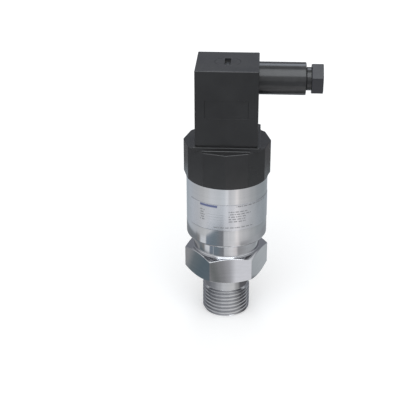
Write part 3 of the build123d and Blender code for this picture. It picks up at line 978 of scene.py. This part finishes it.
def plug_block_skin(sizes):
    """Hollow square block with a round recess in its top and a bare shallow field in its front.

    The outline runs up the outer wall, over the rounded top edge, down the recess, through the
    screw hole and down the cavity, so the block is one closed ring. Points of the outer wall
    inside the field are pushed back by its depth, over a short slope at its border.
    """
    width = sizes.plug_width / MM
    half = width / 2
    edge = sizes.plug_edge / MM
    corner = edge * 1.15
    base, top = low("plug_housing", Z), high("plug_housing", Z)
    recess_floor = low("screw_seal", Z)
    cavity_top = recess_floor - 1.0
    recess = high("screw_knob", X) + 0.1
    screw_hole = 1.6
    field_x = sizes.field_width / 2 / MM
    field_top = top - 12.4
    field_base = field_top - sizes.field_height / MM
    slope = 0.12
    edges = np.array([-field_x, -field_x + slope, field_x - slope, field_x])
    angles = prism_columns(4, width, corner, SQUARE_TURN, arc_steps=5, flat_steps=26)
    angles = np.sort(np.concatenate([angles % FULL_TURN, np.arctan2(-half, edges) % FULL_TURN]))
    outer = prism_reach(angles, 4, width, corner, SQUARE_TURN)
    cavity = prism_reach(angles, 4, CAVITY_WIDTH, 0.6, SQUARE_TURN)
    corners = [
        (cavity, base, 0.15), (outer, base, 0.2), (outer, top, edge), (recess, top, 0.04),
        (recess, recess_floor, 0.1), (screw_hole, recess_floor, 0.0), (screw_hole, cavity_top, 0.0),
        (cavity, cavity_top, 0.0),
    ]
    rows, worn = turned_outline(corners, len(angles), arc_steps=5)
    wall = int(np.argmax(np.diff(rows[:, 0, 1])))
    levels = np.array([field_base, field_base + slope, field_top - slope, field_top])
    rows, worn = divide(rows, worn, wall, levels)
    points = swept(rows, angles)
    x, z = points[..., X], points[..., Z]
    deep = (np.clip((field_x - np.abs(x)) / slope, 0, 1)
            * np.clip((z - field_base) / slope, 0, 1) * np.clip((field_top - z) / slope, 0, 1))
    on_front = points[..., Y] < -half + 0.01
    on_wall = np.zeros(len(rows), bool)
    on_wall[wall:wall + len(levels) + 2] = True
    points[..., Y] += np.where(on_front & on_wall[:, None], deep, 0) * sizes.field_depth / MM
    return skin(points, worn)


def barrel_skin(sizes):
    """Round barrel with a bevelled end, turned about the gland's axis. Its neck is plain beside
    the barrel and then threaded with 1 mm pitch."""
    radius = sizes.barrel_diameter / 2 / MM
    start = 12.2
    neck, plain_neck, nose = 4.8, 4.55, 4.25
    neck_end = high("gland_push_ring", X) - 1.2
    angles = round_columns(144)
    corners = [(radius, start, 0.0), (radius, BARREL_END, 0.35), (plain_neck, BARREL_END, 0.1),
               (plain_neck, neck_end, 0.0)]
    rows, worn = turned_outline(corners, len(angles), arc_steps=4)
    levels = np.linspace(BARREL_END + 0.35, neck_end - 0.02, 72)
    threaded = level_thread(angles, levels, neck, 1.0, 0.42, BARREL_END + 2.0, neck_end + 1.0, 0.6,
                            nose=neck - 0.5 + (neck_end - levels))
    last = column(nose, neck_end, len(angles))[None]
    rows = np.concatenate([rows[:-1], threaded, last])
    worn = np.concatenate([worn[:-1], np.zeros(len(levels) + 1)])
    return skin(laid_along_x(swept(rows, angles)), worn, wrap_rows=False)


def bore_skin():
    """Stepped bore cut through the barrel: entry, throat and seal seat, as one closed core."""
    entry, throat, seal = 5.0, 3.2, 3.7
    seat = low("gland_seal", X)
    throat_start = seat - 2.6
    end = high("plug_housing", X) + 1.0
    corners = [(entry, 9.4, 0.0), (entry, throat_start, 0.0), (throat, throat_start, 0.0),
               (throat, seat, 0.0), (seal, seat, 0.0), (seal, end, 0.0)]
    return turned_skin(corners, round_columns(96), closed=False, along_x=True)


def plug_housing_piece(sizes):
    """Block and barrel joined to one shell, with the bore cut through both."""
    piece = piece_from("plug_shell", [plug_block_skin(sizes)])
    combine(piece, piece_from("barrel_tool", [barrel_skin(sizes)]), "UNION")
    combine(piece, piece_from("bore_tool", [bore_skin()]), "DIFFERENCE")
    return piece


# Captive screw

def screw_knob_piece():
    """Round head: an outline with rounded corners turned about Z. A block is cut from its top for
    the driver slot, and a smaller one from the slot's floor as a pocket for the screw's tang."""
    radius = high("screw_knob", X)
    core = radius * 0.4
    base, top = low("screw_knob", Z), high("screw_knob", Z)
    slot_floor = top - 1.15
    slot_half = (1.25, 4.25)
    corners = [(core, base, 0.0), (radius, base, 0.2), (radius, top, 0.08), (core, top, 0.0)]
    head = turned_skin(corners, round_columns(128), arc_steps=4, closed=False)
    piece = piece_from("screw_head", [head])
    slot = box_skin(*slot_half, slot_floor, top + 1, 0.05)
    combine(piece, piece_from("slot_tool", [slot]), "DIFFERENCE")
    pocket = box_skin(*TANG_HALF, base - 0.5, slot_floor + 0.3, 0.03)
    combine(piece, piece_from("pocket_tool", [pocket]), "DIFFERENCE")
    return piece


def centre_screw_skins():
    """Screw turned about Z, and its flat tang. The rows of its lower end follow thread_reach with
    0.5 mm pitch, held inside the cone of its tip, and its shank is plain."""
    radius = 1.5
    tip, head = low("centre_screw", Z), low("screw_knob", Z)
    thread_end = tip + 9.0
    angles = round_columns(48)
    levels = np.linspace(tip + 0.02, thread_end, 150)
    threaded = level_thread(angles, levels, radius, 0.5, 0.3, tip - 1, thread_end, 0.6,
                            nose=radius - 0.45 + (levels - tip))
    rows = np.concatenate([column(radius - 0.5, tip, len(angles))[None], threaded,
                           column(radius, head, len(angles))[None]])
    tang = box_skin(*TANG_HALF, head - 0.4, high("centre_screw", Z), 0.06)
    return [skin(swept(rows, angles), wrap_rows=False), tang]


# Gland

def gland_nut_skin(sizes):
    """Hexagonal nut along X: outline rows whose outer radius follows prism_reach, with a chamfer
    cone on the outer end, a wide bore and a narrow mouth."""
    bore, mouth, mouth_depth = 4.85, 3.2, 1.2
    start, end = low("gland_nut", X), high("gland_nut", X)
    angles, reach = prism(6, sizes.nut_flats / MM, 0.3, math.radians(10.5), arc_steps=4, flat_steps=16)
    edge = np.minimum(reach - 0.12, 6.3)
    drop = np.maximum((reach - edge) * math.tan(math.radians(30.0)), 0.1)
    floor = end - mouth_depth
    corners = [
        (bore, start, 0.15), (reach, start, 0.15), (reach, end - drop, 0.12), (edge, end, 0.1),
        (mouth, end, 0.25), (mouth, floor, 0.1), (bore, floor, 0.0),
    ]
    return turned_skin(corners, angles, along_x=True)


def gland_ring_skin(node, bore, rounding):
    """Plain ring along X, for the seal and for the push ring: a rectangle with rounded corners,
    turned about the gland's axis."""
    radius = high(node, Y)
    start, end = low(node, X), high(node, X)
    outline = ((bore, start), (radius, start), (radius, end), (bore, end))
    corners = [(reach, x, rounding) for reach, x in outline]
    return turned_skin(corners, round_columns(96), along_x=True)


# Stage

# Painted reflections for the steel: bands of glow on the floor that only glossy rays see, as (bearing in
# degrees about Z, colour), in rings from the object outwards. Each ring shows in the parts that are named
# for it.
NEAR_PAINTED_BANDS = (
    (-180, (0.21, 0.22, 0.24)), (-150, (0.30, 0.31, 0.33)), (-120, (0.52, 0.53, 0.55)),
    (-98, (0.74, 0.75, 0.77)), (-55, (0.80, 0.80, 0.80)), (-36, (0.48, 0.48, 0.48)),
    (-14, (0.15, 0.15, 0.16)), (60, (0.11, 0.11, 0.12)), (130, (0.18, 0.19, 0.21)),
)
HEXAGON_PAINTED_BANDS = (
    (-180, (0.14, 0.185, 0.215)), (-150, (0.22, 0.23, 0.24)), (-116, (0.22, 0.23, 0.24)),
    (-87, (0.31, 0.31, 0.32)), (-83, (0.21, 0.22, 0.22)), (-79, (0.34, 0.34, 0.35)),
    (-76, (0.50, 0.50, 0.52)),
    (-73, (0.92, 0.92, 0.96)), (-56, (0.90, 0.90, 0.94)), (-44, (0.46, 0.46, 0.46)),
    (-6, (0.48, 0.49, 0.50)), (22, (0.45, 0.48, 0.50)), (38, (0.53, 0.56, 0.58)),
    (70, (0.40, 0.43, 0.45)), (118, (0.30, 0.31, 0.33)), (150, (0.34, 0.34, 0.35)),
    (171, (0.38, 0.38, 0.39)), (175, (0.18, 0.215, 0.235)),
)
COLLAR_PAINTED_BANDS = (
    (-180, (0.25, 0.27, 0.29)), (-168, (0.30, 0.30, 0.30)), (-158, (0.85, 0.88, 0.92)),
    (-146, (0.90, 0.92, 0.95)), (-142, (0.26, 0.31, 0.37)), (-122, (0.22, 0.27, 0.31)),
    (-98, (0.26, 0.27, 0.29)), (-93, (0.70, 0.71, 0.73)), (-70, (0.94, 0.93, 0.94)),
    (-58, (0.90, 0.86, 0.86)), (-48, (0.42, 0.42, 0.43)), (-6, (0.50, 0.52, 0.54)),
    (36, (0.34, 0.36, 0.38)), (120, (0.26, 0.28, 0.30)),
)
TUBE_PAINTED_BANDS = (
    (-180, (0.61, 0.63, 0.66)), (-160, (0.66, 0.67, 0.68)), (-142, (0.76, 0.77, 0.78)),
    (-130, (0.83, 0.85, 0.88)), (-108, (0.78, 0.81, 0.84)), (-96, (0.82, 0.86, 0.90)),
    (-87, (1.02, 1.04, 1.07)), (-80, (0.80, 0.80, 0.82)), (-70, (0.90, 0.90, 0.91)),
    (-61, (1.10, 1.06, 1.05)), (-51, (0.80, 0.79, 0.79)), (-40, (0.70, 0.70, 0.71)),
    (-13, (0.52, 0.54, 0.55)), (8, (0.42, 0.45, 0.47)), (30, (0.38, 0.42, 0.44)),
    (70, (0.40, 0.43, 0.46)), (106, (0.46, 0.49, 0.52)), (130, (0.46, 0.51, 0.56)),
    (152, (0.57, 0.61, 0.66)),
)
OUTER_PAINTED_BANDS = (
    (-180, (0.32, 0.33, 0.35)), (-150, (0.40, 0.41, 0.43)), (-110, (0.42, 0.43, 0.45)),
    (-60, (0.42, 0.43, 0.45)), (-10, (0.36, 0.37, 0.38)), (30, (0.20, 0.20, 0.21)),
    (64, (0.20, 0.20, 0.21)), (82, (0.36, 0.37, 0.39)), (98, (0.36, 0.37, 0.39)),
    (114, (0.20, 0.20, 0.21)), (150, (0.22, 0.23, 0.24)),
)

# Radii in metres between which a ring of painted reflection bands gives way to the next. The collar's ring
# ends at a radius that grows with the bearing and then steps back.
NEAR_END = (0.040, 0.044)
HEXAGON_END = (0.075, 0.079)
COLLAR_END_SLANT = (-150.0, -84.0, 0.096, 0.122)
COLLAR_END_STEP = (-84.0, -82.0)
COLLAR_END_REST = 0.094
TUBE_END = (0.160, 0.172)

# The floor's own light for the camera, from the object out to where it is white.
FLOOR_LIFT = (0.1, 0.7, 0.31, 0.60)
FLOOR_RADII = (0.002, 0.2, 0.6, 1.5, 4.0, 12.0)
FLOOR_Z = -0.02

# The studio in reflections, and the light that it gives to matt surfaces.
FRONT_WALL = (0.85, 0.86, 0.88, 1.0)
REAR_WALL = (0.25, 0.26, 0.29, 1.0)
CEILING = (0.50, 0.51, 0.53, 1.0)
DAYLIGHT_TINT = (1.0, 0.985, 0.96, 1.0)

# Lamps as (name, place, width, share of the key power, colour), all aimed at LAMP_AIM.
LAMP_AIM = (0.0, 0.0, 0.06)
LAMPS = (
    ("key_lamp", (0.0, -0.50, 0.90), 0.88, 1.0, (0.92, 0.96, 1.0)),
    ("rear_lamp", (0.0, 0.57, 0.84), 0.40, 0.2, (0.80, 0.88, 1.0)),
)


def bearing_tone(wires, bearing, stops):
    """Painted reflection colour for each bearing about Z, eased between the given bands."""
    share = wires.spread(bearing, -180.0, 180.0)
    tone = wires.node("ShaderNodeValToRGB", {0: share})
    ramp = tone[0].node.color_ramp
    ramp.interpolation = "EASE"
    stops = stops + ((180, stops[0][1]),)
    while len(ramp.elements) < len(stops):
        ramp.elements.new(0.5)
    for element, (degrees, value) in zip(ramp.elements, stops):
        element.position = (degrees + 180) / 360
        element.color = rgb(value)
    return tone[0]


def painted_floor_reflections(wires, x, y, radius):
    """Painted reflections that the steel mirrors at each place on the floor: rings of glowing bands by
    bearing.
    """
    bearing = wires.maths("MULTIPLY", wires.maths("ARCTAN2", y, x), 180 / math.pi)
    near, hexagon, collar, tube, outer = (
        bearing_tone(wires, bearing, stops) for stops in
        (NEAR_PAINTED_BANDS, HEXAGON_PAINTED_BANDS, COLLAR_PAINTED_BANDS, TUBE_PAINTED_BANDS, OUTER_PAINTED_BANDS))
    slant = wires.spread(bearing, *COLLAR_END_SLANT)
    stepped = wires.spread(bearing, *COLLAR_END_STEP)
    reach = wires.maths("ADD", wires.maths("MULTIPLY", slant, wires.maths("SUBTRACT", 1.0, stepped)),
                        wires.maths("MULTIPLY", stepped, COLLAR_END_REST))
    beyond = wires.spread(wires.maths("SUBTRACT", radius, reach), -0.001, 0.002)
    tones = wires.blend(wires.spread(radius, *NEAR_END), near, hexagon)
    tones = wires.blend(wires.spread(radius, *HEXAGON_END), tones, collar)
    tones = wires.blend(beyond, tones, tube)
    return wires.blend(wires.spread(radius, *TUBE_END), tones, outer)


def floor_material():
    """Pale floor. It is near white to the camera and keeps the shadow. To glossy rays it glows with
    painted reflections: soft bands of light and shade in rings around the object."""
    material, wires, shader, place = new_material("studio_floor")
    wires.feed(shader["Base Color"], (0.80, 0.80, 0.80, 1.0))
    wires.feed(shader["Roughness"], 0.9)
    wires.feed(shader["Specular IOR Level"], 0.0)
    x, y, _ = wires.split(place)
    radius = wires.across(x, y)
    plain = material.node_tree.nodes["Principled BSDF"].outputs[0]
    lift = wires.glow(WHITE, wires.spread(radius, *FLOOR_LIFT))
    lit = wires.node("ShaderNodeAddShader", {0: plain, 1: lift})[0]
    rays = wires.node("ShaderNodeLightPath")
    seen = wires.mixed(rays["Is Camera Ray"], plain, lit)
    # Glossy rays see the painted reflection glow in place of the lit floor.
    both = wires.mixed(rays["Is Glossy Ray"], seen, wires.glow(painted_floor_reflections(wires, x, y, radius), 1.0))
    wires.feed(material.node_tree.nodes["Material Output"].inputs["Surface"], both)
    return material


def floor_piece():
    """Flat round floor: rings of points about Z at growing radii."""
    angles = round_columns(96)
    rows = np.stack([column(radius / MM, FLOOR_Z, len(angles)) for radius in FLOOR_RADII])
    points = swept(rows, angles)
    index = np.arange(points.shape[0] * points.shape[1]).reshape(points.shape[:2])
    up, down = index[:-1], index[1:]
    quads = np.stack([up, down, np.roll(down, -1, 1), np.roll(up, -1, 1)], axis=-1).reshape(-1, 4)
    mesh = bpy.data.meshes.new("studio_floor")
    mesh.from_pydata((points.reshape(-1, 3) * MM).tolist(), [], quads.tolist() + [index[0].tolist()])
    piece = linked("studio_floor", mesh)
    mesh.materials.append(floor_material())


def make_world(daylight):
    """White to the camera, an even grey light to matt surfaces, and in reflections a studio whose
    rear wall is a little darker and bluer than its front."""
    world = bpy.data.worlds.new("studio")
    world.use_nodes = True
    wires = Wiring(world.node_tree)
    background = world.node_tree.nodes["Background"]
    wires.feed(background.inputs["Color"], DAYLIGHT_TINT)
    wires.feed(background.inputs["Strength"], daylight)
    _, y, z = wires.split(wires.node("ShaderNodeTexCoord")["Generated"])
    rear = wires.maths("MULTIPLY", wires.spread(y, -0.2, 0.5), wires.spread(z, 0.5, 0.85, 1.0, 0.0))
    rays = wires.node("ShaderNodeLightPath")
    walls = wires.blend(rear, FRONT_WALL, REAR_WALL)
    walls = wires.blend(wires.spread(z, 0.90, 0.99), walls, CEILING)
    seen = wires.blend(rays["Is Camera Ray"], walls, WHITE)
    studio = wires.node("ShaderNodeBackground", {"Color": seen, "Strength": 1.0})[0]
    shown = wires.maths("MAXIMUM", wires.maths("MAXIMUM", rays["Is Camera Ray"], rays["Is Glossy Ray"]),
                        rays["Is Transmission Ray"])
    mix = wires.mixed(shown, background.outputs[0], studio)
    wires.feed(world.node_tree.nodes["World Output"].inputs["Surface"], mix)
    bpy.context.scene.world = world


def add_lamp(name, place, width, power, tint):
    """Soft square lamp at a place, turned towards the object."""
    light = bpy.data.lights.new(name, "AREA")
    light.shape = "SQUARE"
    light.size = width
    light.energy = power
    light.color = tint
    lamp = linked(name, light)
    lamp.location = place
    x, y, z = np.array(LAMP_AIM) - np.array(place)
    lamp.rotation_euler = (math.atan2(math.hypot(x, y), -z), 0, math.atan2(y, x) - math.pi / 2)


def add_camera(settings):
    """Camera of the photograph's view: it looks down 26 degrees, a little to the left."""
    data = bpy.data.cameras.new("photo_camera")
    data.lens = settings.focal_length
    data.sensor_width = 36.0
    data.clip_start = 0.01
    camera = linked("photo_camera", data)
    camera.location = settings.camera_place
    camera.rotation_euler = (math.radians(63.723), 0.0, math.radians(3.048))
    bpy.context.scene.camera = camera


# Operators

class TRANSMITTER_OT_process_connection(bpy.types.Operator):
    """Make the threaded connection with its hexagon and collar"""
    bl_idname = "transmitter.process_connection"
    bl_label = "Process connection"

    def execute(self, context):
        scene = context.scene
        piece = piece_from("turned_connection", [process_connection_skin(scene.transmitter_body)])
        fit_out(piece, "transmitter", ["process_connection"],
                body_steel(scene.transmitter_finish))
        return {"FINISHED"}


class TRANSMITTER_OT_housing_sleeve(bpy.types.Operator):
    """Make the steel tube"""
    bl_idname = "transmitter.housing_sleeve"
    bl_label = "Housing sleeve"

    def execute(self, context):
        scene = context.scene
        piece = piece_from("steel_tube", [housing_sleeve_skin(scene.transmitter_body)])
        fit_out(piece, "transmitter", ["housing_sleeve"],
                tube_steel(scene.transmitter_finish))
        return {"FINISHED"}


class TRANSMITTER_OT_name_label(bpy.types.Operator):
    """Make the label foil with its plain bars"""
    bl_idname = "transmitter.name_label"
    bl_label = "Name label"

    def execute(self, context):
        foil = label_foil("printed_foil", context.scene.transmitter_finish.foil)
        fit_out(name_label_piece(), "transmitter", ["name_label"], foil)
        return {"FINISHED"}


class TRANSMITTER_OT_housing_cap(bpy.types.Operator):
    """Make the twelve-sided cap"""
    bl_idname = "transmitter.housing_cap"
    bl_label = "Housing cap"

    def execute(self, context):
        scene = context.scene
        piece = piece_from("twelve_sided_cap", [housing_cap_skin(scene.transmitter_plug)])
        fit_out(piece, "transmitter", ["housing_cap"],
                plug_plastic(scene.transmitter_finish))
        return {"FINISHED"}


class TRANSMITTER_OT_connector_base(bpy.types.Operator):
    """Make the connector's base with its flange"""
    bl_idname = "transmitter.connector_base"
    bl_label = "Connector base"

    def execute(self, context):
        piece = piece_from("base_moulding", [connector_base_skin()])
        fit_out(piece, "transmitter", ["connector_base"],
                plug_plastic(context.scene.transmitter_finish))
        return {"FINISHED"}


class TRANSMITTER_OT_blades(bpy.types.Operator):
    """Make the four flat contacts"""
    bl_idname = "transmitter.blades"
    bl_label = "Blades"

    def execute(self, context):
        places = {"contact_blade_1": 180, "contact_blade_2": 0, "contact_blade_3": 90,
                  "ground_blade": 270}
        for node, degrees in places.items():
            piece = piece_from("tinned_" + node, [blade_skin(node, degrees)])
            fit_out(piece, "transmitter", [node], tin_plating())
        return {"FINISHED"}


class TRANSMITTER_OT_plug_housing(bpy.types.Operator):
    """Make the angled plug with its barrel"""
    bl_idname = "transmitter.plug_housing"
    bl_label = "Plug housing"

    def execute(self, context):
        scene = context.scene
        fit_out(plug_housing_piece(scene.transmitter_plug), "plug", ["plug_housing"],
                plug_plastic(scene.transmitter_finish))
        return {"FINISHED"}


class TRANSMITTER_OT_profile_gasket(bpy.types.Operator):
    """Make the rubber seal under the plug"""
    bl_idname = "transmitter.profile_gasket"
    bl_label = "Profile gasket"

    def execute(self, context):
        piece = piece_from("rubber_seal", [profile_gasket_skin()])
        fit_out(piece, "plug", ["profile_gasket"],
                seal_rubber(context.scene.transmitter_finish))
        return {"FINISHED"}


class TRANSMITTER_OT_captive_screw(bpy.types.Operator):
    """Make the captive screw and its slotted head"""
    bl_idname = "transmitter.captive_screw"
    bl_label = "Captive screw"

    def execute(self, context):
        fit_out(screw_knob_piece(), "fixing_screw", ["screw_knob"],
                plug_plastic(context.scene.transmitter_finish))
        piece = piece_from("plated_screw", centre_screw_skins())
        fit_out(piece, "fixing_screw", ["centre_screw"], zinc_plating())
        return {"FINISHED"}


class TRANSMITTER_OT_cable_gland(bpy.types.Operator):
    """Make the gland's nut, push ring and seal"""
    bl_idname = "transmitter.cable_gland"
    bl_label = "Cable gland"

    def execute(self, context):
        scene = context.scene
        finish = scene.transmitter_finish
        plastic = moulded("gland_plastic", finish.gland_plastic, 0.22, 5200.0, 0.000004)
        nut = piece_from("hexagonal_nut", [gland_nut_skin(scene.transmitter_plug)])
        fit_out(nut, "gland_nut", ["gland_nut"], plastic)
        ring = piece_from("push_ring", [gland_ring_skin("gland_push_ring", 2.8, 0.2)])
        fit_out(ring, "gland_ring", ["gland_push_ring"], plastic)
        seal = piece_from("cable_seal", [gland_ring_skin("gland_seal", 2.6, 0.3)])
        fit_out(seal, "plug", ["gland_seal"], seal_rubber(finish))
        return {"FINISHED"}


class TRANSMITTER_OT_inner_parts(bpy.types.Operator):
    """Finish the solids inside the body and the plug"""
    bl_idname = "transmitter.inner_parts"
    bl_label = "Inner parts"

    def execute(self, context):
        finish = context.scene.transmitter_finish
        board = moulded("board_lacquer", (0.02, 0.14, 0.06), 0.35, 2600.0, 0.00001, dust=0.02)
        chip = moulded("chip_moulding", (0.022, 0.022, 0.024), 0.5, 6000.0, 0.00001, dust=0.02)
        ceramic = moulded("fired_ceramic", (0.80, 0.78, 0.73), 0.45, 4000.0, 0.000006, 1.02)
        film = moulded("polyimide_film", (0.50, 0.22, 0.04), 0.3, 2000.0, 0.000004)
        capacitor = moulded("capacitor_moulding", (0.40, 0.28, 0.16), 0.4, 6000.0, 0.000006)
        insert = moulded("insert_plastic", (0.045, 0.046, 0.050), 0.5, 4200.0, 0.000012)
        brass = turned_metal("turned_brass", (0.70, 0.50, 0.20), 0.22, 4200.0, 0.000004)
        nodes_of = (
            (seal_rubber(finish), "sensor_o_ring cap_o_ring screw_seal"),
            (ceramic, "sensor_cell"),
            (body_steel(finish), "sensor_clamp_ring"),
            (film, "sensor_flex"),
            (brass, "base_thread_bush"),
            (plug_plastic(finish), "base_lock_nut"),
            (board, "connection_board amplifier_board"),
            (chip, "measuring_chip output_driver suppressor_diodes"),
            (capacitor, "capacitors"),
            (insert, "terminal_insert"),
            (zinc_plating(), "terminal_screws screw_retainer"),
            (tin_plating(), "terminal_1 terminal_2 terminal_3 terminal_4"),
        )
        for material, nodes in nodes_of:
            for node in nodes.split():
                dress(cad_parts[node], material)
        return {"FINISHED"}


class TRANSMITTER_OT_stage(bpy.types.Operator):
    """Make the floor, the light and the camera"""
    bl_idname = "transmitter.stage"
    bl_label = "Stage"

    def execute(self, context):
        settings = context.scene.transmitter_stage
        floor_piece()
        make_world(settings.daylight)
        for name, place, width, share, tint in LAMPS:
            add_lamp(name, place, width, settings.key_power * share, tint)
        add_camera(settings)
        context.scene.view_settings.view_transform = "Standard"
        return {"FINISHED"}


MAKERS = (
    TRANSMITTER_OT_process_connection,
    TRANSMITTER_OT_housing_sleeve,
    TRANSMITTER_OT_name_label,
    TRANSMITTER_OT_housing_cap,
    TRANSMITTER_OT_connector_base,
    TRANSMITTER_OT_blades,
    TRANSMITTER_OT_plug_housing,
    TRANSMITTER_OT_profile_gasket,
    TRANSMITTER_OT_captive_screw,
    TRANSMITTER_OT_cable_gland,
    TRANSMITTER_OT_inner_parts,
    TRANSMITTER_OT_stage,
)

GROUPS = {
    "transmitter_body": TransmitterBodySizes,
    "transmitter_plug": TransmitterPlugSizes,
    "transmitter_finish": TransmitterFinish,
    "transmitter_stage": TransmitterStageSettings,
}


class TRANSMITTER_PT_panel(bpy.types.Panel):
    """Lists the pieces of the transmitter and its stage"""
    bl_idname = "TRANSMITTER_PT_panel"
    bl_label = "Pressure transmitter"
    bl_space_type = "VIEW_3D"
    bl_region_type = "UI"
    bl_category = "Transmitter"

    def draw(self, context):
        for maker in MAKERS:
            self.layout.operator(maker.bl_idname)
        for name in GROUPS:
            settings = getattr(context.scene, name)
            box = self.layout.box()
            for field in settings.__annotations__:
                box.prop(settings, field)


def register():
    """Adds the settings, the operators and the panel."""
    for group in GROUPS.values():
        bpy.utils.register_class(group)
    for name, group in GROUPS.items():
        setattr(bpy.types.Scene, name, PointerProperty(type=group))
    for kind in MAKERS + (TRANSMITTER_PT_panel,):
        bpy.utils.register_class(kind)


def unregister():
    """Removes them again, in reverse."""
    for kind in reversed(MAKERS + (TRANSMITTER_PT_panel,)):
        bpy.utils.unregister_class(kind)
    for name in GROUPS:
        delattr(bpy.types.Scene, name)
    for group in reversed(list(GROUPS.values())):
        bpy.utils.unregister_class(group)


def main():
    """Makes every piece and the stage in order."""
    register()
    for maker in MAKERS:
        family, name = maker.bl_idname.split(".")
        getattr(getattr(bpy.ops, family), name)()


if __name__ == "__main__":
    main()
